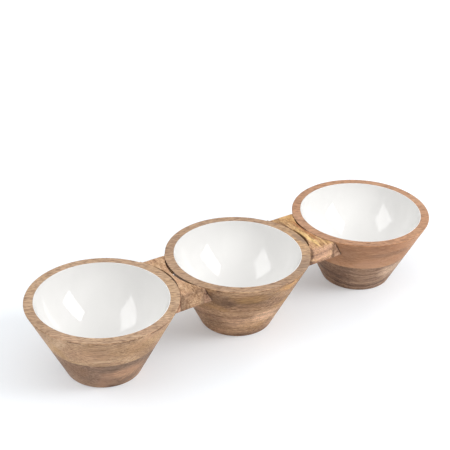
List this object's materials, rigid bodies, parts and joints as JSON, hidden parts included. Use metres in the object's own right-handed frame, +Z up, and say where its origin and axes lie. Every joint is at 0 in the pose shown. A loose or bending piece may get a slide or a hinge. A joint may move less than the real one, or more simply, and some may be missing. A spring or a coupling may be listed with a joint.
{
  "type": "chip and dip server",
  "caption": "Row of conical turned wooden bowls lined with glossy white enamel, joined at rim height by short flat wooden bridges, for serving chips and dips.",
  "frame": {"origin": "on the table, under the middle bowl's centre", "axes": "+Z up, +X along the row of bowls, +Y to the back"},
  "size_m": [0.47, 0.149, 0.078],
  "materials": {
    "left_bowl_upper_wood": "oiled, satin",
    "left_bowl_lower_wood": "oiled, satin",
    "middle_bowl_upper_wood": "oiled, satin",
    "middle_bowl_lower_wood": "oiled, satin",
    "right_bowl_upper_wood": "oiled, satin",
    "right_bowl_lower_wood": "oiled, satin",
    "left_bridge_wood": "oiled, satin",
    "right_bridge_wood": "oiled, satin, strongly figured",
    "dowel_wood": "plain turned hardwood",
    "wood_filler": "matt, glue and sawdust",
    "white_enamel": "glossy"
  },
  "bodies": {
    "root": {"left_bowl_upper_layer": "left_bowl_upper_wood", "left_bowl_lower_layer": "left_bowl_lower_wood", "left_bowl_enamel": "white_enamel", "middle_bowl_upper_layer": "middle_bowl_upper_wood", "middle_bowl_lower_layer": "middle_bowl_lower_wood", "middle_bowl_enamel": "white_enamel", "right_bowl_upper_layer": "right_bowl_upper_wood", "right_bowl_lower_layer": "right_bowl_lower_wood", "right_bowl_enamel": "white_enamel", "left_bridge": "left_bridge_wood", "right_bridge": "right_bridge_wood", "left_bridge_front_dowel": "dowel_wood", "left_bridge_back_dowel": "dowel_wood", "right_bridge_front_dowel": "dowel_wood", "right_bridge_back_dowel": "dowel_wood", "left_bridge_left_front_filler": "wood_filler", "left_bridge_left_back_filler": "wood_filler", "left_bridge_right_front_filler": "wood_filler", "left_bridge_right_back_filler": "wood_filler", "right_bridge_left_front_filler": "wood_filler", "right_bridge_left_back_filler": "wood_filler", "right_bridge_right_front_filler": "wood_filler", "right_bridge_right_back_filler": "wood_filler"}
  },
  "joints": []
}
